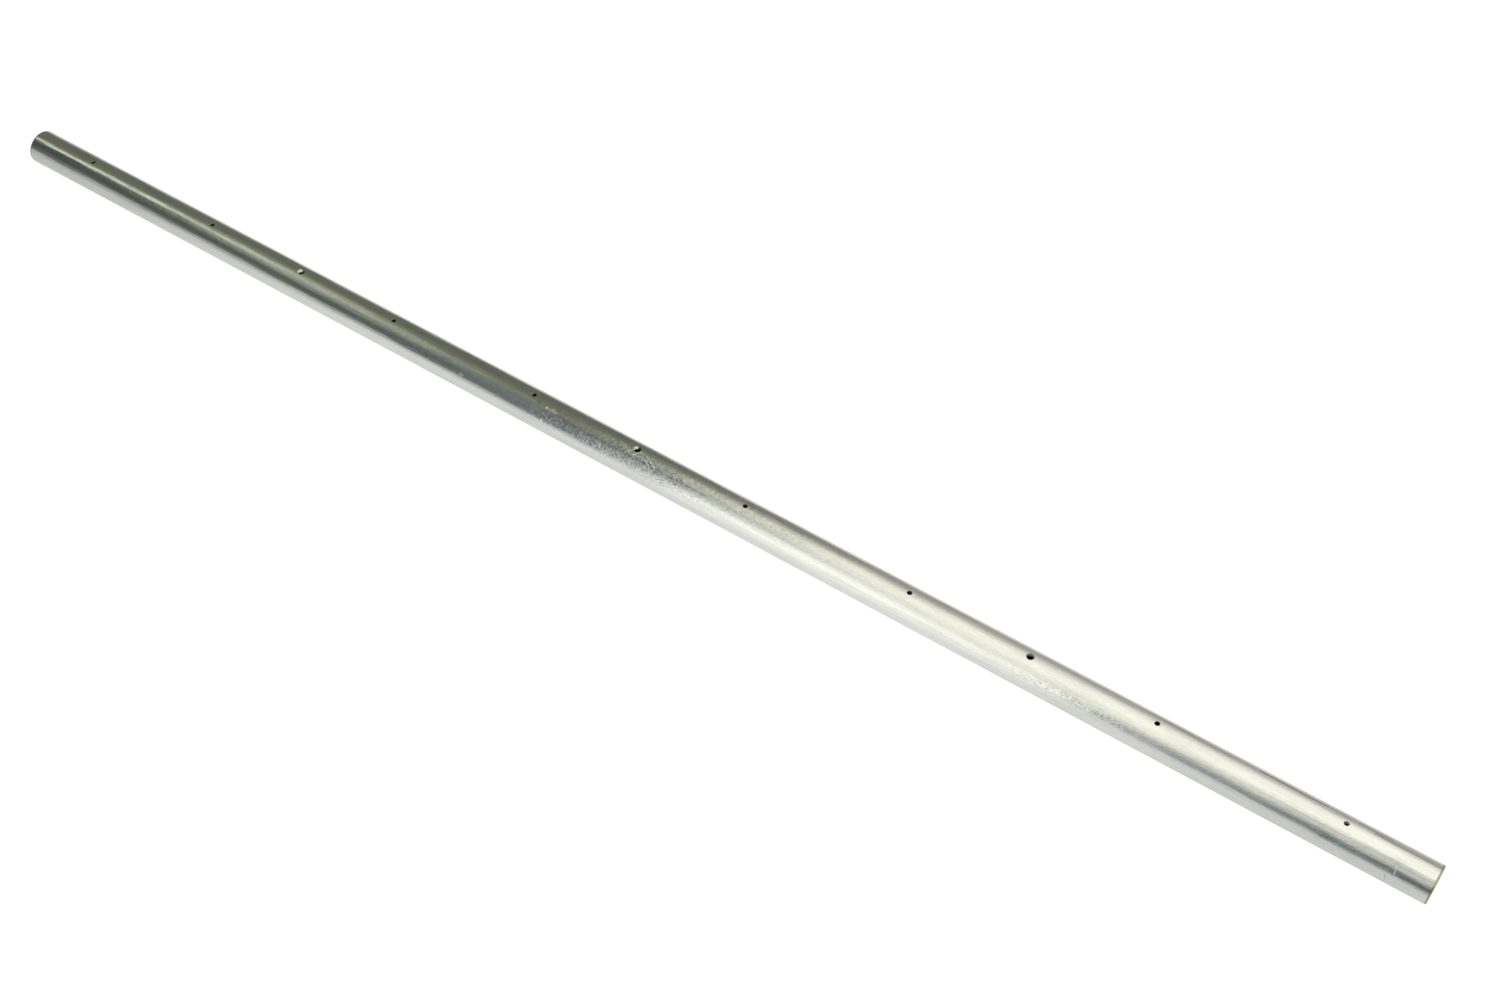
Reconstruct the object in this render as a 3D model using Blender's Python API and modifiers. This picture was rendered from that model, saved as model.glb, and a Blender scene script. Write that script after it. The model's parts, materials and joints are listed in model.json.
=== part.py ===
"""Camshaft oil tube: a straight drawn aluminium tube with one row of drilled oil holes.

The tube lies along X, rests on z = 0 and has its holes facing up. The origin is under the
middle of its length. All sizes are in metres.
"""

import math

import bpy
from mathutils import Matrix, Vector

MM = 0.001

# Drawn tube stock
OUTER_DIAMETER = 10.0 * MM
WALL = 1.0 * MM

# Ends, cut square and deburred
END_ROUND = 0.4 * MM
BORE_CHAMFER = 0.25 * MM

# Row of oil holes, set out from the camshaft bearings
BEARING_COUNT = 3
BEARING_PITCH = 118.0 * MM
LOBE_OFFSET = 34.3 * MM
END_HOLE_OFFSET = 82.5 * MM
END_MARGIN = 23.0 * MM

# Drilled holes
BEARING_HOLE_DIAMETER = 2.0 * MM
LOBE_HOLE_DIAMETER = 1.3 * MM
HOLE_EDGE_BREAK = 0.12 * MM
DRILL_OVERRUN = 0.8 * MM

# Facets of the round shapes
TUBE_SIDES = 32
HOLE_SIDES = 24
ROUND_STEPS = 4

# Shading and merging
SMOOTH_ANGLE = math.radians(35)
MERGE_DISTANCE = 0.001 * MM

# Sizes that follow from the ones above
OUTER_RADIUS = OUTER_DIAMETER / 2
BORE_RADIUS = OUTER_RADIUS - WALL
LAST_BEARING = BEARING_PITCH * (BEARING_COUNT - 1) / 2
END_HOLE = LAST_BEARING + END_HOLE_OFFSET
TUBE_LENGTH = 2 * (END_HOLE + END_MARGIN)
END_BREAK_LIMIT = 0.45 * WALL


def clear_scene():
    """Removes whatever objects the open file holds."""
    for obj in list(bpy.data.objects):
        bpy.data.objects.remove(obj, do_unlink=True)


def new_collection(name):
    """Makes a collection under the scene's own."""
    collection = bpy.data.collections.new(name)
    bpy.context.scene.collection.children.link(collection)
    return collection


def drawn_aluminium():
    """Bright drawn aluminium with a satin surface, a little warm in tone."""
    material = bpy.data.materials.new("drawn_aluminium")
    material.use_nodes = True
    shader = material.node_tree.nodes["Principled BSDF"]
    shader.inputs["Base Color"].default_value = (0.80, 0.80, 0.76, 1.0)
    shader.inputs["Metallic"].default_value = 1.0
    shader.inputs["Roughness"].default_value = 0.32
    return material


def arc(centre, radius, start, end, steps):
    """Points on an arc in the XZ plane, from one angle to the other in degrees."""
    points = []
    for step in range(steps + 1):
        angle = math.radians(start + (end - start) * step / steps)
        points.append(centre + radius * Vector((math.cos(angle), 0.0, math.sin(angle))))
    return points


def turned(name, profile, sides, closed, collection):
    """Turns an XZ profile about Z. The flats, not the corners, lie at the profile's radii."""
    corner = 1 / math.cos(math.pi / sides)
    points = [(point.x * corner, 0.0, point.z) for point in profile]
    edges = [(i, i + 1) for i in range(len(points) - 1)]
    if closed:
        edges.append((len(points) - 1, 0))
    mesh = bpy.data.meshes.new(name)
    mesh.from_pydata(points, edges, [])
    obj = bpy.data.objects.new(name, mesh)
    collection.objects.link(obj)

    screw = obj.modifiers.new("turn", "SCREW")
    screw.axis = "Z"
    screw.steps = sides
    screw.render_steps = sides
    screw.use_merge_vertices = True
    screw.merge_threshold = MERGE_DISTANCE

    turned_mesh = bpy.data.meshes.new_from_object(evaluated(obj))
    obj.modifiers.remove(screw)
    obj.data = turned_mesh
    bpy.data.meshes.remove(mesh)
    turned_mesh.name = name
    turned_mesh.shade_smooth()
    turned_mesh.set_sharp_from_angle(angle=SMOOTH_ANGLE)
    return obj


def evaluated(obj):
    """The object as the viewport shows it, with its modifiers."""
    return obj.evaluated_get(bpy.context.evaluated_depsgraph_get())


def tube_profile():
    """Section of the wall: down the outside, round the far end and back up the bore."""
    half = TUBE_LENGTH / 2
    end_round = min(END_ROUND, END_BREAK_LIMIT)
    chamfer = min(BORE_CHAMFER, END_BREAK_LIMIT)
    shoulder = OUTER_RADIUS - end_round
    near = arc(Vector((shoulder, 0.0, half - end_round)), end_round, 90, 0, ROUND_STEPS)
    far = arc(Vector((shoulder, 0.0, end_round - half)), end_round, 0, -90, ROUND_STEPS)
    bore = [
        Vector((BORE_RADIUS + chamfer, 0.0, -half)),
        Vector((BORE_RADIUS, 0.0, chamfer - half)),
        Vector((BORE_RADIUS, 0.0, half - chamfer)),
        Vector((BORE_RADIUS + chamfer, 0.0, half)),
    ]
    return near + far + bore


def drill_profile(diameter):
    """Half of a drill with a 45 degree shoulder, which breaks the hole's outer edge."""
    radius = diameter / 2
    top = OUTER_RADIUS + DRILL_OVERRUN
    bottom = BORE_RADIUS - DRILL_OVERRUN
    shoulder = OUTER_RADIUS - HOLE_EDGE_BREAK
    return [
        Vector((0.0, 0.0, top)),
        Vector((radius + top - shoulder, 0.0, top)),
        Vector((radius, 0.0, shoulder)),
        Vector((radius, 0.0, bottom)),
        Vector((0.0, 0.0, bottom)),
    ]


def oil_holes():
    """Place along the tube and diameter of every hole, from one end to the other."""
    bearings = [i * BEARING_PITCH - LAST_BEARING for i in range(BEARING_COUNT)]
    holes = [(x, BEARING_HOLE_DIAMETER) for x in bearings]
    for side in (-1, 1):
        holes += [(x + side * LOBE_OFFSET, LOBE_HOLE_DIAMETER) for x in bearings]
        holes.append((side * END_HOLE, LOBE_HOLE_DIAMETER))
    return sorted(holes)


def build_drills(collection):
    """One drill for each hole, standing over the tube's axis."""
    for number, (x, diameter) in enumerate(oil_holes(), start=1):
        drill = turned(f"drill_{number:02d}", drill_profile(diameter), HOLE_SIDES, False, collection)
        drill.location = (x, 0.0, OUTER_RADIUS)
        drill.hide_render = True
        drill.display_type = "WIRE"


def build_tube(collection, drills):
    """The tube, laid along X on one of its flats, with its holes cut from above."""
    tube = turned("oil_tube", tube_profile(), TUBE_SIDES, True, collection)
    onto_flat = Matrix.Rotation(math.pi / TUBE_SIDES, 4, "Z")
    along_x = Matrix.Rotation(math.pi / 2, 4, "Y")
    tube.matrix_world = Matrix.Translation((0.0, 0.0, OUTER_RADIUS)) @ along_x @ onto_flat
    tube.data.materials.append(drawn_aluminium())

    cut = tube.modifiers.new("oil_holes", "BOOLEAN")
    cut.operation = "DIFFERENCE"
    cut.operand_type = "COLLECTION"
    cut.collection = drills
    cut.solver = "EXACT"

    shading = tube.modifiers.new("even_shading", "WEIGHTED_NORMAL")
    shading.keep_sharp = True
    return tube


def main():
    """Builds the drills, then the tube that they cut."""
    clear_scene()
    drills = new_collection("drills")
    build_drills(drills)
    build_tube(new_collection("camshaft_oil_tube"), drills)


main()
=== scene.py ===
"""Looks of the camshaft oil tube: drawn aluminium with a row of drilled oil holes.

The tube lies along X on the floor with its holes facing up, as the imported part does. Sizes are
in metres, but those of the finishes are in millimetres, and so is a name that ends in _mm. The
part's own box gives the tube's length and diameter.
"""

import json
import logging
import math
from dataclasses import dataclass, field
from enum import Enum
from typing import Callable

import bmesh
import bpy
from mathutils import Matrix, Vector

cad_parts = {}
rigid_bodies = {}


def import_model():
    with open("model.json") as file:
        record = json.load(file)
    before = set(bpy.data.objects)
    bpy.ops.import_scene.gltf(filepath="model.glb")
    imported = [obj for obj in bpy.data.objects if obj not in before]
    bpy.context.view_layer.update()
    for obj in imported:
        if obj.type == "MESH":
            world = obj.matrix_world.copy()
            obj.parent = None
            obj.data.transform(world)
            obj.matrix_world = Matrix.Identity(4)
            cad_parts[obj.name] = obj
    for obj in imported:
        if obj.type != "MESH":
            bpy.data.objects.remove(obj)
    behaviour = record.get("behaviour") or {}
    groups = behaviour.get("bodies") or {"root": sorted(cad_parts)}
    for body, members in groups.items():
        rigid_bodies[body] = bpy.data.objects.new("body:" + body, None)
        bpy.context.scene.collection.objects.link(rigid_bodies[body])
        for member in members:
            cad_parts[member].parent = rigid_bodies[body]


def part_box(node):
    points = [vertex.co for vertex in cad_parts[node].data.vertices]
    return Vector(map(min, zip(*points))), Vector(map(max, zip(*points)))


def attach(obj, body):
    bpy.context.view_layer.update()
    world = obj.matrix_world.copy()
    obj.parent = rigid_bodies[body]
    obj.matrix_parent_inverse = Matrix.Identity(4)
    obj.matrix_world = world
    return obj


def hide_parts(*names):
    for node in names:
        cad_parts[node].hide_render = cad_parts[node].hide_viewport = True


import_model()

MM = 0.001
WORLD_LIGHT = 0.8
WHITE = 1.0
NODE = "oil_tube"
BODY = "root"

# How near two places count as the same
NEAR = 0.01 * MM

# Socket numbers of a Mix node that is set to colours
MIX_FACTOR, MIX_A, MIX_B, MIX_RESULT = 0, 6, 7, 2

# Where a mark has faded out and where it is at its strongest, as shares of its half width
SCUFF_EDGE = 1.1
SCRATCH_EDGE, SCRATCH_CORE = 1.6, 0.3

Tree = bpy.types.NodeTree
Node = bpy.types.Node
Socket = bpy.types.NodeSocket

log = logging.getLogger("oil_tube_looks")


class Zone(Enum):
    """Surfaces of the tube that are made in different ways, numbered as its material slots."""

    OUTSIDE = 0
    BORE = 1
    END = 2
    HOLE = 3


class Pick(Enum):
    """Kinds of mesh element that can be selected in edit mode."""

    EDGES = "EDGE"
    FACES = "FACE"


class Fade(Enum):
    """Whether a light panel starts or ends at an edge."""

    IN = "in"
    OUT = "out"


def linear(hex_colour: str) -> tuple[float, float, float, float]:
    """Turns an sRGB colour into the linear values that Blender's sockets take.

    Args:
        hex_colour: Six hex digits, red first.

    Returns:
        Red, green, blue and an alpha of 1.
    """
    channels = []
    for start in (0, 2, 4):
        value = int(hex_colour[start:start + 2], 16) / 255
        channels.append(value / 12.92 if value <= 0.04045 else ((value + 0.055) / 1.055) ** 2.4)
    return (*channels, 1.0)


def add_node(tree: Tree, kind: str, inputs: dict | None = None, **settings: object) -> Node:
    """Adds one node with its settings, values and links.

    Args:
        tree: Node tree that takes the node.
        kind: The node's type, such as ShaderNodeMath.
        inputs: By socket name or number, a value to set, or what to link: an output socket, or
            a node, whose first output is meant.
        settings: The node's own properties, such as operation.

    Returns:
        The new node.
    """
    node = tree.nodes.new(kind)
    for name, value in settings.items():
        setattr(node, name, value)
    for key, value in (inputs or {}).items():
        if isinstance(value, Node):
            value = value.outputs[0]
        if isinstance(value, Socket):
            tree.links.new(value, node.inputs[key])
        else:
            node.inputs[key].default_value = value
    return node


def turn_about_axis(tree: Tree, parts: Node) -> Node:
    """Adds the angle about X, from straight up towards the camera's side.

    Args:
        tree: Node tree that takes the nodes.
        parts: Node that splits a place, measured from the axis, into X, Y and Z.

    Returns:
        Node whose output is the angle in radians.
    """
    front = add_node(tree, "ShaderNodeMath", {0: parts.outputs["Y"], 1: -1.0}, operation="MULTIPLY")
    return add_node(tree, "ShaderNodeMath", {0: front, 1: parts.outputs["Z"]}, operation="ARCTAN2")


def deselect() -> None:
    """Deselects every object, so that an operator acts only on what is picked next."""
    for obj in bpy.context.view_layer.objects:
        obj.select_set(False)


def activate(obj: bpy.types.Object) -> None:
    """Makes one object the only selected one and the active one.

    Args:
        obj: The object.
    """
    deselect()
    obj.select_set(True)
    bpy.context.view_layer.objects.active = obj


def pick(obj: bpy.types.Object, kind: Pick, wanted: Callable[[list[Vector]], bool]) -> None:
    """Selects the elements of the mesh in edit mode whose corners pass a test.

    Args:
        obj: Object in edit mode.
        kind: Edges or faces.
        wanted: Says from an element's corner points whether it is selected.
    """
    bpy.ops.mesh.select_mode(type=kind.value)
    bpy.ops.mesh.select_all(action="DESELECT")
    mesh = bmesh.from_edit_mesh(obj.data)
    for element in mesh.edges if kind is Pick.EDGES else mesh.faces:
        if wanted([vert.co for vert in element.verts]):
            element.select_set(True)
    mesh.select_flush_mode()
    bmesh.update_edit_mesh(obj.data)


@dataclass(frozen=True)
class Scuff:
    """A rubbed patch on the outside, where fine specks of bare metal catch the light.

    Its place and size are in millimetres on the unrolled outside: along the tube from its
    middle, and round it from the top towards the camera's side.
    """

    along: float
    around: float
    half_length: float
    half_width: float
    weight: float = 1.0


@dataclass(frozen=True)
class Scratch:
    """A scratch on the outside from one point to another, placed as a scuff is."""

    start: tuple[float, float]
    end: tuple[float, float]
    half_width: float = 0.25
    weight: float = 1.0


@dataclass(frozen=True)
class HighlitTornWall:
    """Part of a hole's wall that the drill tore: it leans up to the light, and a painted highlight makes
    it bright.

    Its middle and half length are in millimetres along the tube. Its lean is its slope, and the share of
    the painted highlight's colour.
    """

    along: float
    reach: float
    lean: float


@dataclass(frozen=True)
class Wear:
    """Patterns of the marks on the outside, as sockets that mostly run from 0 to 1."""

    lines: Socket
    stains: Socket
    fibres: Socket
    rubbed: Socket
    pitted: Socket
    scratched: Socket
    scored: Socket
    bared: Socket


@dataclass(frozen=True)
class BareAluminium:
    """Plain aluminium alloy, the metal under every finish of the tube."""

    name: str = "bare_aluminium"
    metal: str = "E6E7E4"
    roughness: float = 0.18

    def material(self, axis_height: float) -> bpy.types.Material:
        """Makes the finish.

        Args:
            axis_height: Height of the tube's axis, which the patterns are centred on.

        Returns:
            The new material.
        """
        material = bpy.data.materials.new(self.name)
        material.use_nodes = True
        tree = material.node_tree
        shader = tree.nodes["Principled BSDF"]
        shader.inputs["Base Color"].default_value = linear(self.metal)
        shader.inputs["Metallic"].default_value = 1.0
        shader.inputs["Roughness"].default_value = self.roughness
        place = add_node(tree, "ShaderNodeTexCoord")
        millimetres = add_node(
            tree,
            "ShaderNodeMapping",
            {
                "Vector": place.outputs["Object"],
                "Location": (0.0, 0.0, -axis_height / MM),
                "Scale": (1 / MM, 1 / MM, 1 / MM),
            },
        )
        self.work(tree, shader, millimetres.outputs[0])
        return material

    def work(self, tree: Tree, shader: Node, place: Socket) -> None:
        """Adds what making and handling left on the metal; a bare one has nothing.

        Args:
            tree: The material's node tree.
            shader: Its surface shader.
            place: Millimetres from the middle of the tube's axis.
        """

    @staticmethod
    def grain(
        tree: Tree, place: Socket, size: tuple[float, float, float], detail: float = 1.0
    ) -> Socket:
        """An uneven pattern of grains.

        Args:
            tree: The material's node tree.
            place: Millimetres from the middle of the tube's axis.
            size: Size of a grain along X, Y and Z in millimetres.
            detail: How many finer layers lie on the first.

        Returns:
            Socket from 0 to 1, mostly near 0.5.
        """
        scaled = add_node(
            tree, "ShaderNodeMapping", {"Vector": place, "Scale": tuple(1 / length for length in size)}
        )
        noise = add_node(tree, "ShaderNodeTexNoise", {"Vector": scaled, "Scale": 1.0, "Detail": detail})
        return noise.outputs[0]

    @staticmethod
    def emboss(tree: Tree, shader: Node, height: Socket) -> None:
        """Gives the surface a relief.

        Args:
            tree: The material's node tree.
            shader: Its surface shader.
            height: Height of the relief in millimetres.
        """
        bump = add_node(tree, "ShaderNodeBump", {"Height": height, "Distance": MM})
        tree.links.new(bump.outputs[0], shader.inputs["Normal"])


@dataclass(frozen=True)
class CutAluminium(BareAluminium):
    """Aluminium that a tool has cut, which leaves fine rings that catch the light.

    Sizes are in millimetres. The real rings are about 0.1 mm apart and are drawn coarser.
    """

    ring_pitch: float = 0.22
    ring_depth: float = 0.012
    wobble_size: float = 1.5

    def rings(self, tree: Tree, place: Socket, across: Socket) -> Socket:
        """Rings that the tool left.

        Args:
            tree: The material's node tree.
            place: Millimetres from the middle of the tube's axis.
            across: Millimetres in the direction in which ring follows ring.

        Returns:
            Socket with their height in millimetres.
        """
        wobble = self.grain(tree, place, (self.wobble_size,) * 3)
        turns = add_node(
            tree,
            "ShaderNodeMath",
            {0: across, 1: 2 * math.pi / self.ring_pitch, 2: wobble},
            operation="MULTIPLY_ADD",
        )
        wave = add_node(tree, "ShaderNodeMath", {0: turns}, operation="SINE")
        height = add_node(tree, "ShaderNodeMath", {0: wave, 1: self.ring_depth}, operation="MULTIPLY")
        return height.outputs[0]


@dataclass(frozen=True)
class DrawnOutside(BareAluminium):
    """The outside as it left the drawing die, handled since: satin, with lines along it.

    The fine lines spread each light round the tube, so its gloss lies in long soft bands. The
    real ones are about 0.1 mm apart and are drawn coarser, so that they show. Sizes are in
    millimetres.
    """

    name: str = "drawn_aluminium"
    roughness: float = 0.142
    uneven_roughness: float = 0.03
    worn_roughness: float = 0.45
    anisotropy: float = 0.95
    # Draw lines, coarser than the real ones
    line_length: float = 11.0
    line_width: float = 0.5
    line_depth: float = 0.035
    line_span: tuple[float, float] = (0.3, 0.7)
    # Short fibres between them, which mottle the gloss
    mottled: str = "C9CBC6"
    grain_length: float = 1.5
    grain_width: float = 0.38
    grain_depth: float = 0.026
    mottle_span: tuple[float, float] = (0.40, 0.75)
    mottle_share: float = 0.3
    # Faint stains, and the slow waves of the wall under them
    stained: str = "D6D9D6"
    stain_length: float = 14.0
    stain_width: float = 1.6
    stain_span: tuple[float, float] = (0.45, 0.68)
    stain_share: float = 0.5
    wave_depth: float = 0.055
    # Pits of the rubbed patches, where bare metal shows
    bared: str = "EEEFEC"
    pit_length: float = 0.9
    pit_width: float = 0.5
    pit_span: tuple[float, float] = (0.36, 0.70)
    pit_depth: float = 0.024
    patchy_span: tuple[float, float] = (0.36, 0.60)
    patchy_floor: float = 0.25
    bared_from: float = 0.7
    bared_share: float = 0.3
    # Grey smears that rubbing left round the pits
    rubbed: str = "9DA9AB"
    smear_length: float = 2.6
    smear_width: float = 0.9
    smear_span: tuple[float, float] = (0.35, 0.65)
    # Scratches and die lines, and how far a mark's edge wanders
    scored: str = "7C7E79"
    scratch_depth: float = 0.030
    ragged: float = 2.4
    wavy: float = 0.9
    ragged_size: float = 1.6
    scuffs: tuple[Scuff, ...] = (
        Scuff(-32.2, 2.2, 3.6, 2.2, 0.8),
        Scuff(-26.0, 3.4, 7.0, 3.0, 1.0),
        Scuff(-14.0, 3.8, 12.0, 3.2, 0.9),
        Scuff(-3.0, 2.2, 7.0, 2.8, 1.0),
        Scuff(5.0, 2.6, 7.0, 2.8, 1.0),
        Scuff(13.5, 2.4, 6.5, 2.2, 0.8),
        Scuff(-68.0, 4.2, 12.0, 1.2, 0.35),
        Scuff(197.4, 5.4, 2.4, 2.2, 0.5),
        Scuff(214.3, 3.9, 1.6, 2.8, 0.6),
    )
    scratches: tuple[Scratch, ...] = (
        Scratch((-28.6, 1.7), (-27.0, 1.7), 0.30, 0.9),
        Scratch((-26.9, 1.5), (-25.5, 1.8), 0.26, 0.9),
        Scratch((-33.4, 1.4), (-32.2, 3.2), 0.14, 0.12),
        Scratch((-28.7, 5.3), (-28.3, 5.8), 0.30, 0.8),
        Scratch((-56.7, 4.7), (-56.1, 4.9), 0.30, 0.5),
        Scratch((-4.8, 0.4), (-1.4, 0.9), 0.20, 0.6),
        Scratch((-3.4, 1.3), (-0.9, 1.6), 0.14, 0.5),
        Scratch((1.5, 0.4), (4.2, 0.8), 0.18, 0.7),
        Scratch((4.2, 0.8), (6.2, 1.8), 0.18, 0.7),
        Scratch((6.2, 1.8), (7.6, 3.2), 0.16, 0.5),
        Scratch((0.2, 1.9), (3.6, 1.7), 0.16, 0.7),
        Scratch((3.6, 1.7), (6.9, 3.4), 0.14, 0.6),
        Scratch((214.1, 3.2), (214.5, 5.5), 0.26, 0.35),
    )
    die_lines: tuple[Scratch, ...] = (
        Scratch((147.0, -2.3), (171.0, -1.6), 0.16, 0.3),
        Scratch((178.0, -2.1), (195.0, -2.0), 0.20, 0.6),
        Scratch((203.0, -2.0), (211.0, -2.1), 0.18, 0.45),
        Scratch((207.0, -1.4), (223.0, -1.2), 0.22, 0.6),
        Scratch((187.0, 3.0), (223.0, 3.0), 0.14, 0.15),
        Scratch((-14.0, 2.8), (24.0, 2.7), 0.16, 0.3),
        Scratch((195.4, 3.2), (195.7, 4.2), 0.20, 0.15),
        Scratch((212.8, 6.8), (213.1, 7.6), 0.18, 0.35),
    )

    def work(self, tree: Tree, shader: Node, place: Socket) -> None:
        """Adds draw lines, stains, scuffs and scratches.

        Args:
            tree: The material's node tree.
            shader: Its surface shader.
            place: Millimetres from the middle of the tube's axis.
        """
        wear = self.find_wear(tree, place)
        self.tint(tree, shader, wear)
        self.dull(tree, shader, wear)
        self.emboss(tree, shader, self.relief(tree, wear))

    def find_wear(self, tree: Tree, place: Socket) -> Wear:
        """Finds where each mark lies.

        Args:
            tree: The material's node tree.
            place: Millimetres from the middle of the tube's axis.

        Returns:
            The marks' patterns.
        """
        lines = self.grain(tree, place, (self.line_length, self.line_width, self.line_width), 2.0)
        stains = self.grain(tree, place, (self.stain_length, self.stain_width, self.stain_width), 2.0)
        fibres = self.grain(tree, place, (self.grain_length, self.grain_width, self.grain_width), 2.0)
        specks = self.grain(tree, place, (self.pit_length, self.pit_width, self.pit_width), 3.0)
        smears = self.grain(tree, place, (self.smear_length, self.smear_width, self.smear_width), 2.0)
        unrolled = self.unroll(tree, place)
        edges = self.fray(tree, place, unrolled, self.ragged)
        wavy = self.fray(tree, place, unrolled, self.wavy)
        scuffed = self.strongest(tree, [self.patch(tree, edges, scuff) for scuff in self.scuffs])
        pitted = scuffed
        for pattern, span, floor in (
            (specks, self.pit_span, 0.0),
            (smears, self.patchy_span, self.patchy_floor),
        ):
            share = add_node(
                tree,
                "ShaderNodeMapRange",
                {"Value": pattern, "From Min": span[0], "From Max": span[1], "To Min": floor},
                interpolation_type="LINEAR" if floor else "SMOOTHSTEP",
            )
            pitted = add_node(
                tree, "ShaderNodeMath", {0: pitted, 1: share}, operation="MULTIPLY"
            ).outputs[0]
        bared = add_node(
            tree,
            "ShaderNodeMapRange",
            {"Value": pitted, "From Min": self.bared_from, "To Max": self.bared_share},
        )
        smeared = add_node(
            tree,
            "ShaderNodeMapRange",
            {"Value": smears, "From Min": self.smear_span[0], "From Max": self.smear_span[1]},
        )
        rubbed = add_node(tree, "ShaderNodeMath", {0: scuffed, 1: smeared}, operation="MULTIPLY")
        scratched = self.strongest(tree, [self.stroke(tree, wavy, scratch) for scratch in self.scratches])
        return Wear(
            lines=lines,
            stains=stains,
            fibres=fibres,
            rubbed=rubbed.outputs[0],
            pitted=pitted,
            scratched=scratched,
            scored=self.strongest(
                tree, [self.stroke(tree, unrolled, scratch) for scratch in self.die_lines]
            ),
            bared=self.strongest(tree, [bared.outputs[0], scratched]),
        )

    def tint(self, tree: Tree, shader: Node, wear: Wear) -> None:
        """Colours the metal by its marks.

        Args:
            tree: The material's node tree.
            shader: Its surface shader.
            wear: The marks' patterns.
        """
        shares = []
        for pattern, span, most in (
            (wear.stains, self.stain_span, self.stain_share),
            (wear.fibres, self.mottle_span, self.mottle_share),
        ):
            share = add_node(
                tree,
                "ShaderNodeMapRange",
                {"Value": pattern, "From Min": span[0], "From Max": span[1], "To Max": most},
            )
            shares.append(share.outputs[0])
        colour = linear(self.metal)
        for share, tone in (
            (shares[0], self.stained),
            (shares[1], self.mottled),
            (wear.rubbed, self.rubbed),
            (wear.scored, self.scored),
            (wear.bared, self.bared),
        ):
            colour = add_node(
                tree,
                "ShaderNodeMix",
                {MIX_FACTOR: share, MIX_A: colour, MIX_B: linear(tone)},
                data_type="RGBA",
            ).outputs[MIX_RESULT]
        tree.links.new(colour, shader.inputs["Base Color"])

    def dull(self, tree: Tree, shader: Node, wear: Wear) -> None:
        """Spreads the gloss round the tube, across the draw lines, and dulls it where it is worn.

        Args:
            tree: The material's node tree.
            shader: Its surface shader.
            wear: The marks' patterns.
        """
        uneven = add_node(
            tree,
            "ShaderNodeMapRange",
            {
                "Value": wear.lines,
                "From Min": self.line_span[0],
                "From Max": self.line_span[1],
                "To Min": self.roughness - self.uneven_roughness,
                "To Max": self.roughness + self.uneven_roughness,
            },
        )
        rough = add_node(
            tree,
            "ShaderNodeMapRange",
            {"Value": wear.bared, "To Min": uneven, "To Max": self.worn_roughness},
        )
        tree.links.new(rough.outputs[0], shader.inputs["Roughness"])
        around = add_node(tree, "ShaderNodeTangent", direction_type="RADIAL", axis="X")
        tree.links.new(around.outputs[0], shader.inputs["Tangent"])
        shader.inputs["Anisotropic"].default_value = self.anisotropy

    def relief(self, tree: Tree, wear: Wear) -> Socket:
        """Adds up the depths of the marks.

        Args:
            tree: The material's node tree.
            wear: The marks' patterns.

        Returns:
            Socket with the height in millimetres.
        """
        height = 0.0
        for pattern, depth in (
            (wear.lines, self.line_depth),
            (wear.fibres, self.grain_depth),
            (wear.stains, self.wave_depth),
            (wear.pitted, self.pit_depth),
            (wear.scratched, -self.scratch_depth),
        ):
            height = add_node(
                tree, "ShaderNodeMath", {0: pattern, 1: depth, 2: height}, operation="MULTIPLY_ADD"
            ).outputs[0]
        return height

    def fray(self, tree: Tree, place: Socket, unrolled: Socket, reach: float) -> Socket:
        """Shifts the unrolled outside here and there, so that a mark's edge isn't regular.

        Args:
            tree: The material's node tree.
            place: Millimetres from the middle of the tube's axis.
            unrolled: Place on the unrolled outside, in millimetres.
            reach: Scale of the shift round the tube, in millimetres; it is twice that along it.

        Returns:
            Socket with the shifted place.
        """
        scaled = add_node(
            tree, "ShaderNodeMapping", {"Vector": place, "Scale": (1 / self.ragged_size,) * 3}
        )
        noise = add_node(tree, "ShaderNodeTexNoise", {"Vector": scaled, "Scale": 1.0, "Detail": 2.0})
        shift = add_node(
            tree,
            "ShaderNodeVectorMath",
            {0: noise.outputs["Color"], 1: (0.5, 0.5, 0.5)},
            operation="SUBTRACT",
        )
        frayed = add_node(
            tree,
            "ShaderNodeVectorMath",
            {0: shift, 1: (2 * reach, reach, 0.0), 2: unrolled},
            operation="MULTIPLY_ADD",
        )
        return frayed.outputs[0]

    @staticmethod
    def unroll(tree: Tree, place: Socket) -> Socket:
        """Rolls the outside out flat.

        Args:
            tree: The material's node tree.
            place: Millimetres from the middle of the tube's axis.

        Returns:
            Socket with the millimetres along the tube as X and round it as Y.
        """
        parts = add_node(tree, "ShaderNodeSeparateXYZ", {0: place})
        turn = turn_about_axis(tree, parts)
        level = add_node(tree, "ShaderNodeCombineXYZ", {"Y": parts.outputs["Y"], "Z": parts.outputs["Z"]})
        radius = add_node(tree, "ShaderNodeVectorMath", {0: level}, operation="LENGTH")
        arc = add_node(
            tree, "ShaderNodeMath", {0: turn, 1: radius.outputs["Value"]}, operation="MULTIPLY"
        )
        flat = add_node(tree, "ShaderNodeCombineXYZ", {"X": parts.outputs["X"], "Y": arc})
        return flat.outputs[0]

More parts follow.
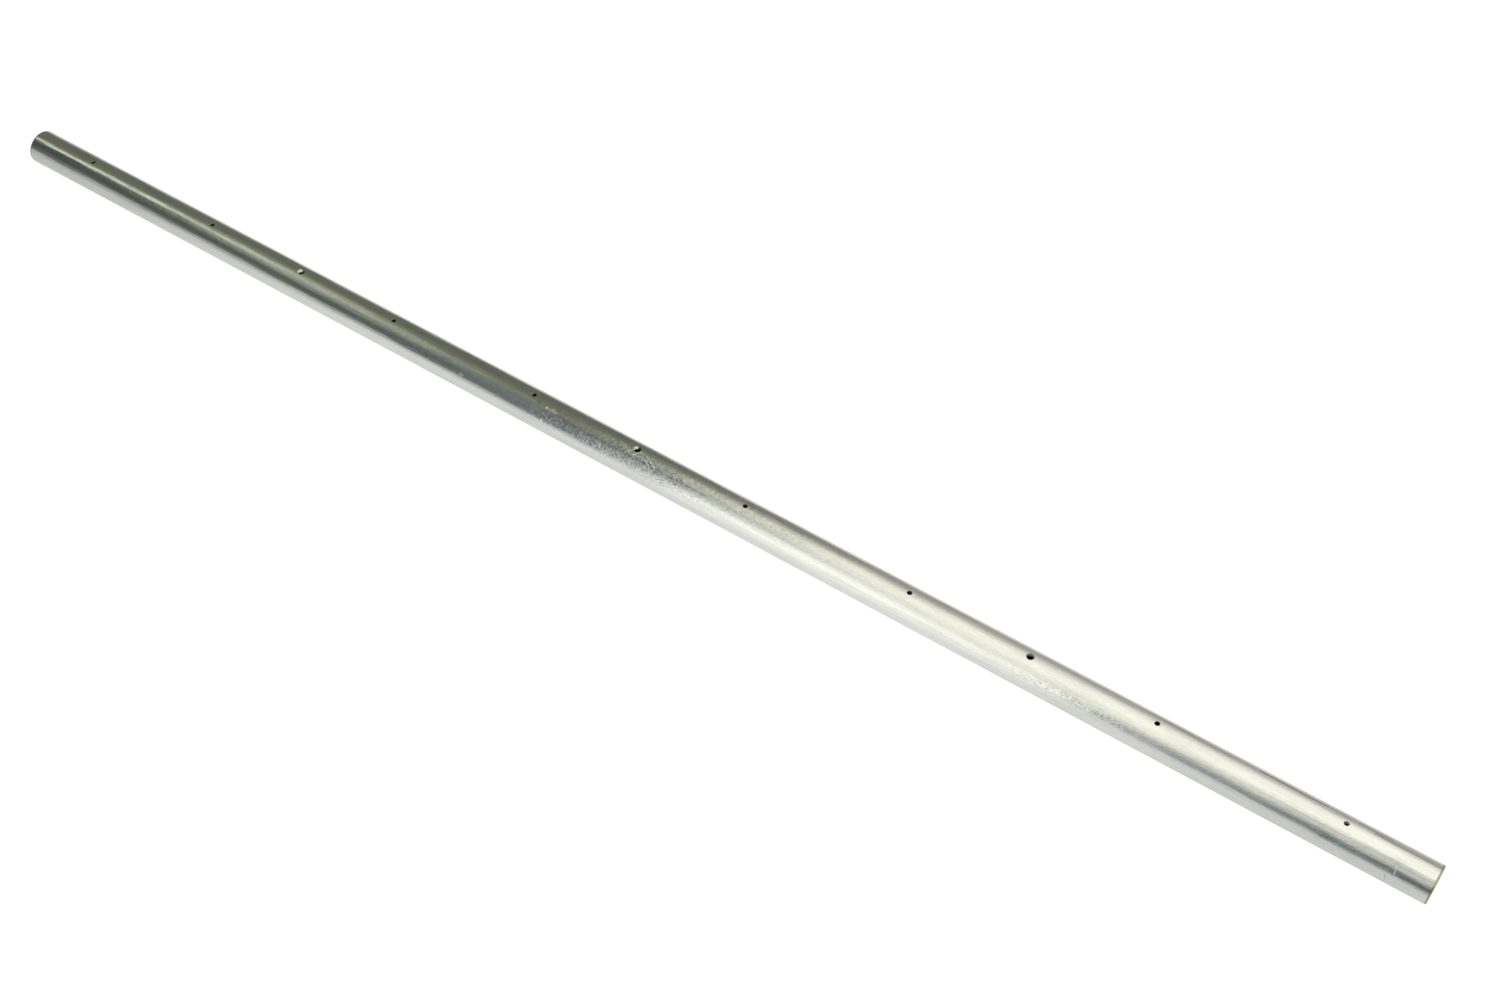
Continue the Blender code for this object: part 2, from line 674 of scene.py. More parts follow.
    @staticmethod
    def patch(tree: Tree, unrolled: Socket, scuff: Scuff) -> Socket:
        """Where one scuff lies.

        Args:
            tree: The material's node tree.
            unrolled: Place on the unrolled outside, in millimetres.
            scuff: The scuff.

        Returns:
            Socket that is the scuff's weight in its middle and fades to 0 at its edge.
        """
        offset = add_node(
            tree,
            "ShaderNodeVectorMath",
            {0: unrolled, 1: (scuff.along, scuff.around, 0.0)},
            operation="SUBTRACT",
        )
        share = add_node(
            tree,
            "ShaderNodeVectorMath",
            {0: offset, 1: (scuff.half_length, scuff.half_width, 1.0)},
            operation="DIVIDE",
        )
        reach = add_node(tree, "ShaderNodeVectorMath", {0: share}, operation="LENGTH")
        return add_node(
            tree,
            "ShaderNodeMapRange",
            {
                "Value": reach.outputs["Value"],
                "From Min": SCUFF_EDGE,
                "From Max": 0.0,
                "To Max": scuff.weight,
            },
            interpolation_type="SMOOTHSTEP",
        ).outputs[0]

    @staticmethod
    def stroke(tree: Tree, unrolled: Socket, scratch: Scratch) -> Socket:
        """Where one scratch runs.

        Args:
            tree: The material's node tree.
            unrolled: Place on the unrolled outside, in millimetres.
            scratch: The scratch.

        Returns:
            Socket that is the scratch's weight along its middle and 0 beside it.
        """
        run = Vector((*scratch.end, 0.0)) - Vector((*scratch.start, 0.0))
        offset = add_node(
            tree, "ShaderNodeVectorMath", {0: unrolled, 1: (*scratch.start, 0.0)}, operation="SUBTRACT"
        )
        travel = add_node(
            tree,
            "ShaderNodeVectorMath",
            {0: offset, 1: tuple(run / run.length_squared)},
            operation="DOT_PRODUCT",
        )
        share = add_node(
            tree, "ShaderNodeClamp", {"Value": travel.outputs["Value"], "Min": 0.0, "Max": 1.0}
        )
        nearest = add_node(
            tree, "ShaderNodeVectorMath", {0: tuple(run), "Scale": share}, operation="SCALE"
        )
        gap = add_node(tree, "ShaderNodeVectorMath", {0: offset, 1: nearest}, operation="DISTANCE")
        return add_node(
            tree,
            "ShaderNodeMapRange",
            {
                "Value": gap.outputs["Value"],
                "From Min": SCRATCH_EDGE * scratch.half_width,
                "From Max": SCRATCH_CORE * scratch.half_width,
                "To Max": scratch.weight,
            },
            interpolation_type="SMOOTHSTEP",
        ).outputs[0]

    @staticmethod
    def strongest(tree: Tree, masks: list[Socket]) -> Socket:
        """Joins masks into one.

        Args:
            tree: The material's node tree.
            masks: Sockets from 0 to 1.

        Returns:
            Socket that is the strongest of them at each place.
        """
        joined = masks[0]
        for mask in masks[1:]:
            joined = add_node(
                tree, "ShaderNodeMath", {0: joined, 1: mask}, operation="MAXIMUM"
            ).outputs[0]
        return joined


@dataclass(frozen=True)
class DrawnBore(BareAluminium):
    """The bore: drawn over a mandrel, softer than the outside, and painted darker as painted shade inside
    the tube.

    Sizes are in millimetres.
    """

    name: str = "bore_painted_shade"
    # Darker than the outside: painted shade inside the bore
    metal: str = "B4B3A2"
    roughness: float = 0.45
    line_length: float = 40.0
    line_width: float = 0.6
    line_depth: float = 0.03

    def work(self, tree: Tree, shader: Node, place: Socket) -> None:
        """Adds lines along the bore.

        Args:
            tree: The material's node tree.
            shader: Its surface shader.
            place: Millimetres from the middle of the tube's axis.
        """
        lines = self.grain(tree, place, (self.line_length, self.line_width, self.line_width), 2.0)
        grooves = add_node(tree, "ShaderNodeMath", {0: lines, 1: self.line_depth}, operation="MULTIPLY")
        self.emboss(tree, shader, grooves.outputs[0])


@dataclass(frozen=True)
class TurnedEnd(CutAluminium):
    """The end faces: parted off and deburred on a lathe, with fine rings round the bore and a painted
    outer rim.
    """

    name: str = "turned_end"
    metal: str = "DEDFDA"
    # Painted rim tones: painted shade for the left end, a painted olive reflection for the right end
    left_rim_painted_shade: str = "4A482E"
    right_rim_painted_reflection: str = "B4B08C"
    painted_rim_edge: tuple[float, float] = (4.60, 4.85)
    roughness: float = 0.32

    def work(self, tree: Tree, shader: Node, place: Socket) -> None:
        """Adds the tool's rings, and a painted rim: painted shade at the left end, a painted olive
        reflection at the right end.

        Args:
            tree: The material's node tree.
            shader: Its surface shader.
            place: Millimetres from the middle of the tube's axis.
        """
        parts = add_node(tree, "ShaderNodeSeparateXYZ", {0: place})
        # Painted shade on the left end's rim, painted reflection on the right end's
        right_end_share = add_node(tree, "ShaderNodeMapRange", {"Value": parts.outputs["X"]})
        rim = add_node(
            tree,
            "ShaderNodeMix",
            {
                MIX_FACTOR: right_end_share,
                MIX_A: linear(self.left_rim_painted_shade),
                MIX_B: linear(self.right_rim_painted_reflection),
            },
            data_type="RGBA",
        )
        flat = add_node(
            tree, "ShaderNodeVectorMath", {0: place, 1: (0.0, 1.0, 1.0)}, operation="MULTIPLY"
        )
        radius = add_node(tree, "ShaderNodeVectorMath", {0: flat}, operation="LENGTH")
        painted_rim_share = add_node(
            tree,
            "ShaderNodeMapRange",
            {
                "Value": radius.outputs["Value"],
                "From Min": self.painted_rim_edge[0],
                "From Max": self.painted_rim_edge[1],
            },
        )
        colour = add_node(
            tree,
            "ShaderNodeMix",
            {
                MIX_FACTOR: painted_rim_share,
                MIX_A: linear(self.metal),
                MIX_B: rim.outputs[MIX_RESULT],
            },
            data_type="RGBA",
        )
        tree.links.new(colour.outputs[MIX_RESULT], shader.inputs["Base Color"])
        self.emboss(tree, shader, self.rings(tree, place, radius.outputs["Value"]))


@dataclass(frozen=True)
class DrilledWall(CutAluminium):
    """The walls of the oil holes: cut by a twist drill, painted darker as painted shade, and torn in some
    of them, where a painted highlight makes them bright.
    """

    name: str = "drilled_wall"
    # Darker olive than the outside: painted shade in the holes
    metal: str = "A5A188"
    # Painted highlight on the torn walls, where the light falls
    torn_wall_painted_highlight: str = "F4F4EE"
    highlit_torn_edge: float = 0.3
    wall_middle: float = 4.5
    roughness: float = 0.50
    ring_pitch: float = 0.32
    ring_depth: float = 0.010
    wobble_size: float = 0.8
    highlit_torn_walls: tuple[HighlitTornWall, ...] = (
        HighlitTornWall(-118.75, 0.45, 0.9),
        HighlitTornWall(-0.75, 0.45, 0.9),
        HighlitTornWall(118.0, 1.2, 0.4),
        HighlitTornWall(200.5, 0.9, 0.4),
    )

    def work(self, tree: Tree, shader: Node, place: Socket) -> None:
        """Adds the drill's rings, and the torn places with their lean and their painted highlight.

        Args:
            tree: The material's node tree.
            shader: Its surface shader.
            place: Millimetres from the middle of the tube's axis.
        """
        parts = add_node(tree, "ShaderNodeSeparateXYZ", {0: place})
        torn_and_highlit = 0.0
        for wall in self.highlit_torn_walls:
            offset = add_node(
                tree, "ShaderNodeMath", {0: parts.outputs["X"], 1: wall.along}, operation="SUBTRACT"
            )
            gap = add_node(tree, "ShaderNodeMath", {0: offset}, operation="ABSOLUTE")
            near = add_node(
                tree,
                "ShaderNodeMapRange",
                {
                    "Value": gap,
                    "From Min": wall.reach + self.highlit_torn_edge,
                    "From Max": wall.reach - self.highlit_torn_edge,
                    "To Max": wall.lean,
                },
                interpolation_type="SMOOTHSTEP",
            )
            torn_and_highlit = add_node(tree, "ShaderNodeMath", {0: near, 1: torn_and_highlit}, operation="ADD").outputs[0]
        # Painted highlight over the torn places
        colour = add_node(
            tree,
            "ShaderNodeMix",
            {MIX_FACTOR: torn_and_highlit, MIX_A: linear(self.metal), MIX_B: linear(self.torn_wall_painted_highlight)},
            data_type="RGBA",
        )
        tree.links.new(colour.outputs[MIX_RESULT], shader.inputs["Base Color"])
        depth = add_node(
            tree, "ShaderNodeMath", {0: self.wall_middle, 1: parts.outputs["Z"]}, operation="SUBTRACT"
        )
        height = add_node(
            tree,
            "ShaderNodeMath",
            {0: depth, 1: torn_and_highlit, 2: self.rings(tree, place, parts.outputs["Z"])},
            operation="MULTIPLY_ADD",
        )
        self.emboss(tree, shader, height.outputs[0])


def zone_finishes() -> dict[Zone, BareAluminium]:
    """Gives each of the tube's surfaces its finish.

    Returns:
        The finishes by surface.
    """
    return {
        Zone.OUTSIDE: DrawnOutside(),
        Zone.BORE: DrawnBore(),
        Zone.END: TurnedEnd(),
        Zone.HOLE: DrilledWall(),
    }


@dataclass
class OilTube:
    """The tube: one wall of drawn stock, cut square, deburred and drilled through one side."""

    length: float
    outer_radius: float
    wall: float = 1.0 * MM
    end_round: float = 0.4 * MM
    rim: float = 0.12 * MM
    bore_chamfer: float = 0.25 * MM
    bearing_pitch: float = 118.0 * MM
    bearing_count: int = 3
    lobe_offset: float = 34.3 * MM
    end_hole_offset: float = 82.5 * MM
    bearing_hole: float = 2.0 * MM
    lobe_hole: float = 1.3 * MM
    edge_break: float = 0.12 * MM
    edge_turn: float = math.radians(75)
    drill_overrun: float = 0.8 * MM
    hole_border: float = 0.4 * MM
    tube_sides: int = 192
    hole_sides: int = 64
    round_steps: int = 6
    chamfer_steps: int = 2
    smooth_angle: float = math.radians(30)
    name: str = "drilled_tube"
    finishes: dict[Zone, BareAluminium] = field(default_factory=zone_finishes)

    @classmethod
    def from_frame(cls) -> "OilTube":
        """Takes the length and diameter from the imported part's box."""
        low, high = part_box(NODE)
        return cls(length=high[0] - low[0], outer_radius=(high[2] - low[2]) / 2)

    def holes(self) -> list[tuple[float, float]]:
        """Sets out the row of holes from the bearings.

        Returns:
            Place along the tube and diameter of every hole, from one end to the other.
        """
        last = self.bearing_pitch * (self.bearing_count - 1) / 2
        bearings = [i * self.bearing_pitch - last for i in range(self.bearing_count)]
        holes = [(x, self.bearing_hole) for x in bearings]
        for side in (-1, 1):
            holes += [(x + side * self.lobe_offset, self.lobe_hole) for x in bearings]
            holes.append((side * (last + self.end_hole_offset), self.lobe_hole))
        return sorted(holes)

    def stations(self) -> list[float]:
        """Finds where the tube needs rings of vertices.

        Returns:
            Places along it: its ends, beside the end rounds, and on both sides of each hole.
        """
        half = self.length / 2
        hold = half - self.end_round - self.rim
        rings = [-half, -hold, hold, half]
        for x, diameter in self.holes():
            reach = diameter / 2 + self.edge_break + self.hole_border
            rings += [x - reach, x + reach]
        return sorted(rings)

    def draw_wall(self) -> bpy.types.Object:
        """Draws a ring out along X from station to station and gives it its wall.

        Returns:
            The tube, with square ends and no holes.
        """
        deselect()
        stations = self.stations()
        bpy.ops.mesh.primitive_circle_add(
            vertices=self.tube_sides,
            radius=self.outer_radius,
            fill_type="NOTHING",
            location=(stations[0], 0.0, self.outer_radius),
            rotation=(0.0, math.pi / 2, 0.0),
        )
        tube = bpy.context.object
        tube.name = self.name
        tube.data.name = self.name
        bpy.ops.object.transform_apply(location=True, rotation=True, scale=True)
        for zone in Zone:
            tube.data.materials.append(self.finishes[zone].material(self.outer_radius))

        bpy.ops.object.mode_set(mode="EDIT")
        bpy.ops.mesh.select_all(action="SELECT")
        for here, there in zip(stations, stations[1:]):
            bpy.ops.mesh.extrude_region_move(TRANSFORM_OT_translate={"value": (there - here, 0.0, 0.0)})
        bpy.ops.mesh.select_all(action="SELECT")
        bpy.ops.mesh.normals_make_consistent(inside=False)
        bpy.ops.object.mode_set(mode="OBJECT")

        solid = tube.modifiers.new("wall", "SOLIDIFY")
        solid.thickness = self.wall
        solid.offset = -1.0
        solid.use_even_offset = True
        solid.material_offset = Zone.BORE.value
        solid.material_offset_rim = Zone.END.value
        bpy.ops.object.modifier_apply(modifier=solid.name)
        return tube

    def break_ends(self, tube: bpy.types.Object) -> None:
        """Rounds the outer edge and chamfers the bore's edge at both ends.

        Args:
            tube: The tube.
        """
        half = self.length / 2
        middle = self.outer_radius - self.wall / 2

        def on_end(corners: list[Vector], outside: bool) -> bool:
            """Tells whether an edge runs round an end.

            Args:
                corners: The edge's ends.
                outside: Whether the outer rim is meant, and not the inner one.

            Returns:
                True where it does.
            """
            for point in corners:
                radius = math.hypot(point.y, point.z - self.outer_radius)
                if abs(abs(point.x) - half) > NEAR or (radius > middle) != outside:
                    return False
            return True

        bpy.ops.object.mode_set(mode="EDIT")
        pick(tube, Pick.EDGES, lambda corners: on_end(corners, True))
        bpy.ops.mesh.bevel(offset=self.end_round, segments=self.round_steps, profile=0.5, affect="EDGES")
        pick(tube, Pick.EDGES, lambda corners: on_end(corners, False))
        bpy.ops.mesh.bevel(
            offset=self.bore_chamfer, segments=self.chamfer_steps, profile=0.5, affect="EDGES"
        )
        rim = half - self.end_round - self.rim - NEAR
        pick(tube, Pick.FACES, lambda corners: min(abs(point.x) for point in corners) > rim)
        tube.active_material_index = Zone.END.value
        bpy.ops.object.material_slot_assign()
        bpy.ops.object.mode_set(mode="OBJECT")

    def make_drill(self, diameter: float) -> bpy.types.Object:
        """Makes a drill over the middle of the tube, flared where it breaks the hole's edge.

        Args:
            diameter: The drill's diameter.

        Returns:
            The drill, with its place in its mesh.
        """
        radius = diameter / 2
        top = 2 * self.outer_radius - self.edge_break
        bottom = 2 * self.outer_radius - self.wall - self.drill_overrun
        deselect()
        bpy.ops.mesh.primitive_cylinder_add(
            vertices=self.hole_sides,
            radius=radius,
            depth=top - bottom,
            end_fill_type="NGON",
            location=(0.0, 0.0, (top + bottom) / 2),
        )
        drill = bpy.context.object
        bpy.ops.object.transform_apply(location=True, rotation=True, scale=True)
        bpy.ops.object.mode_set(mode="EDIT")
        pick(drill, Pick.FACES, lambda corners: min(point.z for point in corners) > top - NEAR)
        reach, height = radius, 0.0
        for step in range(1, self.round_steps + 1):
            angle = self.edge_turn * step / self.round_steps
            wider = radius + self.edge_break * (1 - math.cos(angle))
            higher = self.edge_break * math.sin(angle)
            self.grow_top(wider / reach, higher - height)
            reach, height = wider, higher
        self.grow_top((reach + self.drill_overrun) / reach, self.drill_overrun)
        bpy.ops.object.mode_set(mode="OBJECT")
        return drill

    @staticmethod
    def grow_top(factor: float, rise: float) -> None:
        """Extrudes the selected top face upwards and widens it."""
        bpy.ops.mesh.extrude_region_move(TRANSFORM_OT_translate={"value": (0.0, 0.0, rise)})
        bpy.ops.transform.resize(value=(factor, factor, 1.0))

    def drill_holes(self, tube: bpy.types.Object) -> None:
        """Cuts the row of oil holes with one drill for each.

        Args:
            tube: The tube.
        """
        patterns = {size: self.make_drill(size) for size in (self.bearing_hole, self.lobe_hole)}
        drills = []
        for x, diameter in self.holes():
            drill = patterns[diameter].copy()
            drill.data = patterns[diameter].data.copy()
            drill.data.transform(Matrix.Translation((x, 0.0, 0.0)))
            bpy.context.collection.objects.link(drill)
            drills.append(drill)
        for pattern in patterns.values():
            bpy.data.objects.remove(pattern, do_unlink=True)

        deselect()
        for drill in drills:
            drill.select_set(True)
        bpy.context.view_layer.objects.active = drills[0]
        bpy.ops.object.join()
        cutter = bpy.context.object
        cutter.data.materials.append(tube.data.materials[Zone.HOLE.value])

        activate(tube)
        cut = tube.modifiers.new("oil_holes", "BOOLEAN")
        cut.operation = "DIFFERENCE"
        cut.solver = "EXACT"
        cut.material_mode = "TRANSFER"
        cut.object = cutter
        bpy.ops.object.modifier_apply(modifier=cut.name)
        bpy.data.objects.remove(cutter, do_unlink=True)

    def shade_outside(self, tube: bpy.types.Object) -> None:
        """Points the outside's shading straight off the axis, so that no facet shows by a hole.

        Args:
            tube: The drilled tube.
        """
        mesh = tube.data
        normals = [Vector(corner.vector) for corner in mesh.corner_normals]
        for face in mesh.polygons:
            if face.material_index != Zone.OUTSIDE.value:
                continue
            for corner in face.loop_indices:
                point = mesh.vertices[mesh.loops[corner].vertex_index].co
                normals[corner] = Vector((0.0, point.y, point.z - self.outer_radius)).normalized()
        mesh.normals_split_custom_set(normals)

    def build(self) -> bpy.types.Object:
        """Models the tube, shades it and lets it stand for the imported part.

        Returns:
            The finished tube.
        """
        tube = self.draw_wall()
        self.break_ends(tube)
        self.drill_holes(tube)
        activate(tube)
        bpy.ops.object.shade_smooth_by_angle(angle=self.smooth_angle)
        even = tube.modifiers.new("even_shading", "WEIGHTED_NORMAL")
        even.keep_sharp = True
        bpy.ops.object.modifier_apply(modifier=even.name)
        self.shade_outside(tube)
        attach(tube, BODY)
        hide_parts(NODE)
        return tube


@dataclass(frozen=True)
class TentPanel:
    """A soft patch of light or shade on the tent.

    Its edges are given as seen from the tube: along is the X part of the direction to it, and
    around is the angle in degrees about the tube's axis, from straight up towards the camera's
    side. Each edge is the pair of places between which the panel fades in or out.
    """

    name: str
    colour: str
    strength: float
    along_in: tuple[float, float] | None = None
    along_out: tuple[float, float] | None = None
    around_in: tuple[float, float] | None = None
    around_out: tuple[float, float] | None = None


@dataclass
class LightTent:
    """Soft light all round the tube: a pale tent that is open to a dim room at its left.

    It is so large that the whole tube sees each panel in the same direction.
    """

    radius: float = 60.0
    segments: int = 64
    ring_count: int = 32
    room: str = "FBFFE2"
    room_strength: float = 0.158
    panels: tuple[TentPanel, ...] = (
        TentPanel("back_cloth", "FFFDF0", 0.39, (-0.43, -0.22), None, None, (-22, 24)),
        TentPanel("left_gap", "DCF0FA", 0.090, None, (-0.28, -0.245), (12, 15), (50, 79)),
        TentPanel("left_mist", "DCEEFF", 0.24, (-0.57, -0.42), (-0.28, -0.245), (20, 40), (62, 84)),
        TentPanel("left_table", "FBFFFC", 0.77, None, (-0.36, -0.33), (81, 92)),
        TentPanel("top_cloth", "FFFFEF", 1.15, (-0.47, -0.27), None, (-54, -5), (-3, 120)),
        TentPanel("top_lamp", "FFFCF4", 1.25, (-0.40, -0.02), None, (-82, -21), (9, 75)),
        TentPanel("front_lamp", "FFFFF6", 1.30, (-0.445, -0.36), (-0.196, -0.168), (30, 72)),
        TentPanel("front_cloth", "FDFFF4", 0.675, (-0.20, 0.01), None, (8, 29)),
        TentPanel("front_shade", "E8F3F4", 0.48, (-0.190, -0.160), None, (50, 72)),
        TentPanel("front_gap", "B4D2DE", 0.08, (-0.15, 0.02), None, (44, 89)),
        TentPanel("wide_slit", "F4FFE2", 1.10, (-0.66, -0.545), (-0.68, -0.41), (-36, 24), (-2, 63)),
        TentPanel("slit", "FAFFE6", 1.15, None, (-0.63, -0.565), (-8, 9), (10, 13)),
        TentPanel("right_cloth", "FFFFEE", 1.00, (0.04, 0.14), None, (-30, -10), (45, 62)),
        TentPanel("end_cloth", "FFFFF6", 0.80, None, (-0.93, -0.80), (-110, -30), (30, 110)),
    )

    def build(self) -> bpy.types.Object:
        """Puts up the tent as a sphere that only the tube and the floor see.

        Returns:
            The tent.
        """
        deselect()
        bpy.ops.mesh.primitive_uv_sphere_add(
            segments=self.segments, ring_count=self.ring_count, radius=self.radius
        )
        tent = bpy.context.object
        tent.name = "light_tent"
        bpy.ops.object.mode_set(mode="EDIT")
        bpy.ops.mesh.select_all(action="SELECT")
        bpy.ops.mesh.flip_normals()
        bpy.ops.object.mode_set(mode="OBJECT")
        tent.data.materials.append(self.material())
        tent.visible_camera = False
        return tent

    def material(self) -> bpy.types.Material:
        """Paints the tent's panels, each over the ones before it.

        Returns:
            The new material.
        """
        material = bpy.data.materials.new("tent_cloth")
        material.use_nodes = True
        tree = material.node_tree
        tree.nodes.clear()
        place = add_node(tree, "ShaderNodeTexCoord")
        unit = add_node(tree, "ShaderNodeVectorMath", {0: place.outputs["Object"]}, operation="NORMALIZE")
        parts = add_node(tree, "ShaderNodeSeparateXYZ", {0: unit})
        turn = turn_about_axis(tree, parts)
        degrees = add_node(tree, "ShaderNodeMath", {0: turn}, operation="DEGREES")
        light = add_node(
            tree,
            "ShaderNodeVectorMath",
            {0: linear(self.room)[:3], "Scale": self.room_strength},
            operation="SCALE",
        ).outputs[0]
        for panel in self.panels:
            edges = (
                (parts.outputs["X"], panel.along_in, Fade.IN),
                (parts.outputs["X"], panel.along_out, Fade.OUT),
                (degrees.outputs[0], panel.around_in, Fade.IN),
                (degrees.outputs[0], panel.around_out, Fade.OUT),
            )
            colour = [channel * panel.strength for channel in linear(panel.colour)[:3]]
            light = add_node(
                tree,
                "ShaderNodeMix",
                {MIX_FACTOR: self.mask(tree, edges), MIX_A: light, MIX_B: (*colour, 1.0)},
                label=panel.name,
                data_type="RGBA",
            ).outputs[MIX_RESULT]
        glow = add_node(tree, "ShaderNodeEmission", {"Color": light, "Strength": 1.0})
        add_node(tree, "ShaderNodeOutputMaterial", {"Surface": glow})
        material.cycles.emission_sampling = "NONE"
        return material

    @staticmethod
    def mask(tree: Tree, edges: tuple) -> Socket:
        """Where a panel is, with soft edges.

        Args:
            tree: The tent's node tree.
            edges: For each edge the coordinate's socket, the edge or None, and its fade.

        Returns:
            Socket that is 1 inside the panel and 0 outside it.
        """
        mask = None
        for coordinate, edge, fade in edges:
            if edge is None:
                continue
            ramp = add_node(
                tree,
                "ShaderNodeMapRange",
                {
                    "Value": coordinate,
                    "From Min": edge[0],
                    "From Max": edge[1],
                    "To Min": 0.0 if fade is Fade.IN else 1.0,
                    "To Max": 1.0 if fade is Fade.IN else 0.0,
                },
                interpolation_type="SMOOTHSTEP",
            ).outputs[0]
            if mask is None:
                mask = ramp
            else:
                mask = add_node(
                    tree, "ShaderNodeMath", {0: mask, 1: ramp}, operation="MULTIPLY"
                ).outputs[0]
        return mask


@dataclass
class WhiteTable:
    """The pale floor, which photographs white and keeps the tube's faint shadow; what the tube mirrors of
    it carries a painted pool of light and a painted shadow along the tube.
    """

    radius: float = 5.8
    sides: int = 96
    paint: str = "F4F4F4"
    white_share: float = 0.8
    white: float = 1.16
    # Painted pool of light, which only glossy and transmission rays see
    painted_pool_white: float = 1.10
    painted_pool_outer_white: float = 0.84
    painted_pool_middle: tuple[float, float, float] = (-15.0 * MM, 0.0, 0.0)
    painted_pool_edge: tuple[float, float] = (90.0 * MM, 200.0 * MM)
    # Painted shadow along the tube, which only glossy and transmission rays see
    shade: float = 0.90
    beyond_painted_shadow: float = 1.12
    painted_shadow_edge: tuple[float, float] = (4.0 * MM, 22.0 * MM)
    gloss_ior: float = 2.5
    gloss_roughness: float = 0.05

    def build(self) -> bpy.types.Object:
        """Lays the floor under the tube.

        Returns:
            The floor.
        """
        deselect()
        bpy.ops.mesh.primitive_circle_add(vertices=self.sides, radius=self.radius, fill_type="NGON")
        floor = bpy.context.object
        floor.name = "white_table"
        floor.data.materials.append(self.material())
        return floor

    def material(self) -> bpy.types.Material:
        """Makes the floor's paint: white to the camera, glossy at a low angle, and with a painted pool of
        light and a painted shadow along the tube that only glossy and transmission rays see.

        Returns:
            The new material.
        """
        material = bpy.data.materials.new("gloss_white_paint")
        material.use_nodes = True
        tree = material.node_tree
        tree.nodes.clear()
        path = add_node(tree, "ShaderNodeLightPath")
        mirrored = add_node(
            tree,
            "ShaderNodeMath",
            {0: path.outputs["Is Glossy Ray"], 1: path.outputs["Is Transmission Ray"]},
            operation="MAXIMUM",
        ).outputs[0]
        seen = add_node(
            tree, "ShaderNodeMath", {0: path.outputs["Is Camera Ray"], 1: mirrored}, operation="MAXIMUM"
        )
        share = add_node(tree, "ShaderNodeMath", {0: seen, 1: self.white_share}, operation="MULTIPLY")
        place = add_node(tree, "ShaderNodeTexCoord")
        away = add_node(
            tree,
            "ShaderNodeVectorMath",
            {0: place.outputs["Object"], 1: self.painted_pool_middle},
            operation="DISTANCE",
        )
        parts = add_node(tree, "ShaderNodeSeparateXYZ", {0: place.outputs["Object"]})
        aside = add_node(tree, "ShaderNodeMath", {0: parts.outputs["Y"]}, operation="ABSOLUTE")
        # Painted pool of light times painted shadow along the tube
        lit = 1.0
        for distance, edge, near, far in (
            (away.outputs["Value"], self.painted_pool_edge, self.painted_pool_white, self.painted_pool_outer_white),
            (aside, self.painted_shadow_edge, self.shade, self.beyond_painted_shadow),
        ):
            fade = add_node(
                tree,
                "ShaderNodeMapRange",
                {
                    "Value": distance,
                    "From Min": edge[0],
                    "From Max": edge[1],
                    "To Min": near,
                    "To Max": far,
                },
            )
            lit = add_node(tree, "ShaderNodeMath", {0: lit, 1: fade}, operation="MULTIPLY")
        level = add_node(
            tree, "ShaderNodeMapRange", {"Value": mirrored, "To Min": self.white, "To Max": lit}
        )
        paint = add_node(tree, "ShaderNodeBsdfDiffuse", {"Color": linear(self.paint)})
        white = add_node(tree, "ShaderNodeEmission", {"Strength": level})
        matt = add_node(tree, "ShaderNodeMixShader", {0: share, 1: paint, 2: white})
        bounce = add_node(tree, "ShaderNodeFresnel", {"IOR": self.gloss_ior})
        sheen = add_node(tree, "ShaderNodeMath", {0: bounce, 1: mirrored}, operation="MULTIPLY")
        gloss = add_node(tree, "ShaderNodeBsdfAnisotropic", {"Roughness": self.gloss_roughness})
        both = add_node(tree, "ShaderNodeMixShader", {0: sheen, 1: matt, 2: gloss})
        add_node(tree, "ShaderNodeOutputMaterial", {"Surface": both})
        return material


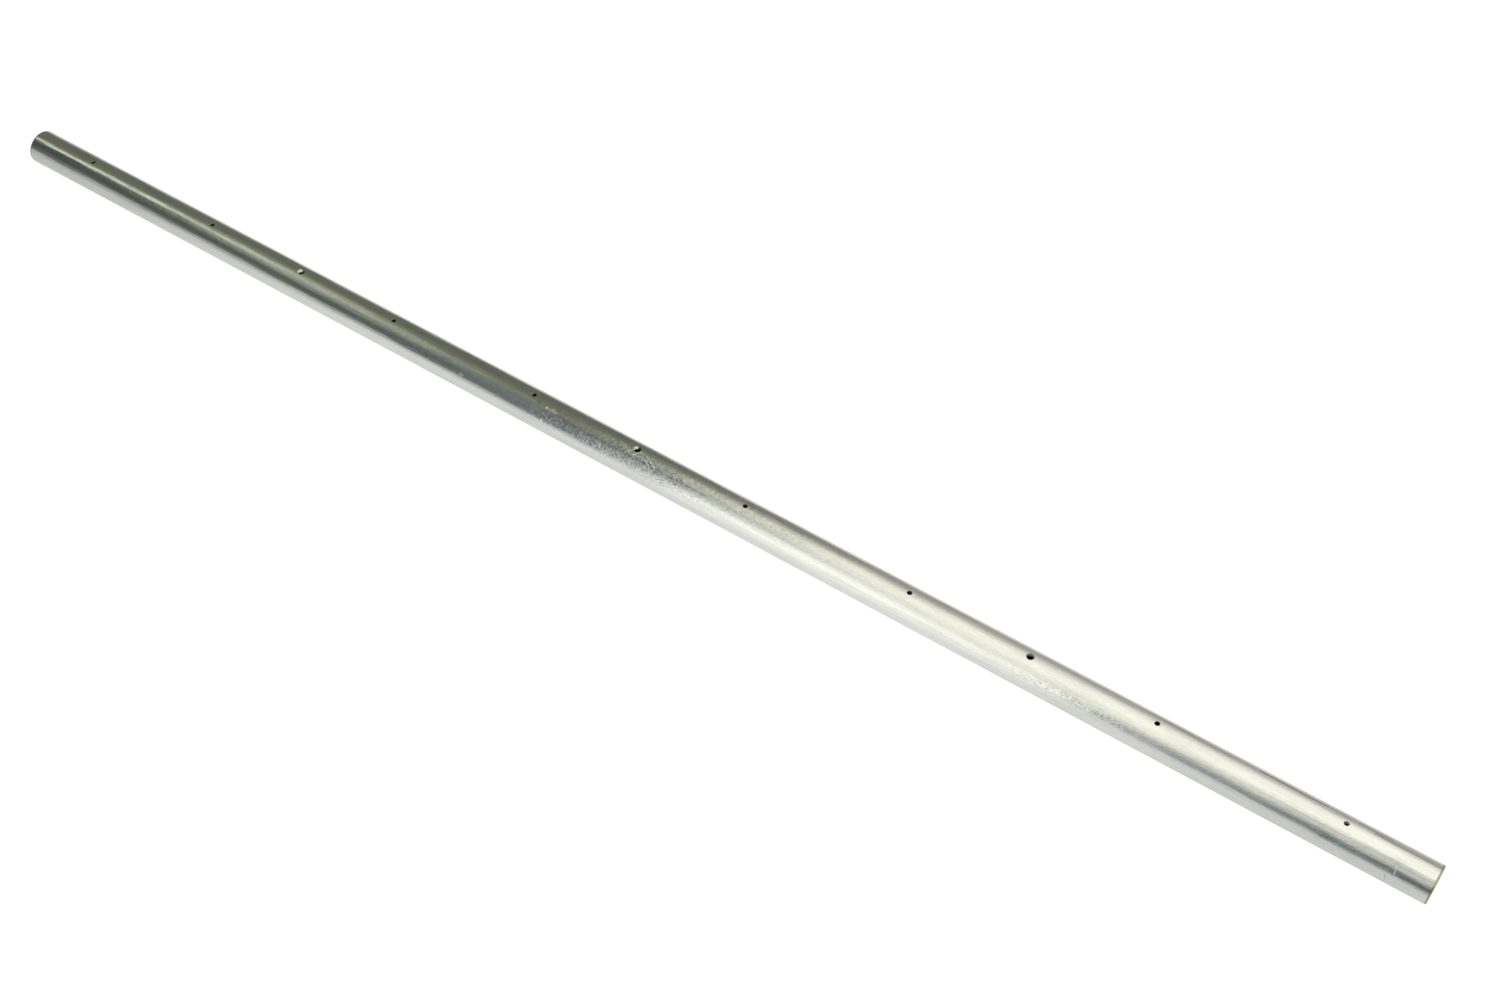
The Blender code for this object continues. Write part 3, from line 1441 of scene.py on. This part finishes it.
@dataclass
class PhotoCamera:
    """The camera, where the photograph was taken from."""

    lens_mm: float = 50.0
    sensor_mm: float = 36.0
    azimuth: float = 33.2
    elevation: float = 48.96
    roll: float = -1.47
    distance: float = 549.3 * MM
    nearest: float = 10.0 * MM
    aim: tuple[float, float, float] = (29.37 * MM, 9.67 * MM, 0.0)

    def build(self) -> bpy.types.Object:
        """Places the camera and gives it to the scene.

        Returns:
            The camera.
        """
        camera = bpy.data.objects.new("photo_camera", bpy.data.cameras.new("photo_camera"))
        camera.data.lens = self.lens_mm
        camera.data.sensor_width = self.sensor_mm
        camera.data.clip_start = self.nearest
        bpy.context.scene.collection.objects.link(camera)
        turn, rise = math.radians(self.azimuth), math.radians(self.elevation)
        back = Vector((math.sin(turn) * math.cos(rise), -math.cos(turn) * math.cos(rise), math.sin(rise)))
        level = back.to_track_quat("Z", "Y").to_matrix().to_4x4()
        lean = Matrix.Rotation(math.radians(-self.roll), 4, "Z")
        camera.matrix_world = (Matrix.Translation(Vector(self.aim) + back * self.distance) @ level @ lean)
        bpy.context.scene.camera = camera
        return camera


def light_world() -> None:
    """A white world behind everything, which camera, glossy and transmission rays see."""
    world = bpy.data.worlds.new("white_studio")
    world.use_nodes = True
    tree = world.node_tree
    tree.nodes.clear()
    path = add_node(tree, "ShaderNodeLightPath")
    seen = path.outputs["Is Camera Ray"]
    for ray in ("Is Glossy Ray", "Is Transmission Ray"):
        seen = add_node(
            tree, "ShaderNodeMath", {0: seen, 1: path.outputs[ray]}, operation="MAXIMUM"
        ).outputs[0]
    strength = add_node(
        tree, "ShaderNodeMapRange", {"Value": seen, "To Min": WORLD_LIGHT, "To Max": WHITE}
    )
    back = add_node(tree, "ShaderNodeBackground", {"Color": linear("FFFFFF"), "Strength": strength})
    add_node(tree, "ShaderNodeOutputWorld", {"Surface": back})
    bpy.context.scene.world = world


def main() -> None:
    """Builds the tube and the studio round it."""
    logging.basicConfig(level=logging.INFO, format="%(name)s: %(message)s")
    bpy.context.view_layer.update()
    bpy.context.scene.view_settings.view_transform = "Standard"

    tube = OilTube.from_frame().build()
    log.info("%s has %d faces", tube.name, len(tube.data.polygons))
    for part in (WhiteTable(), LightTent(), PhotoCamera()):
        log.info("%s is placed", part.build().name)
    light_world()


if __name__ == "__main__":
    main()
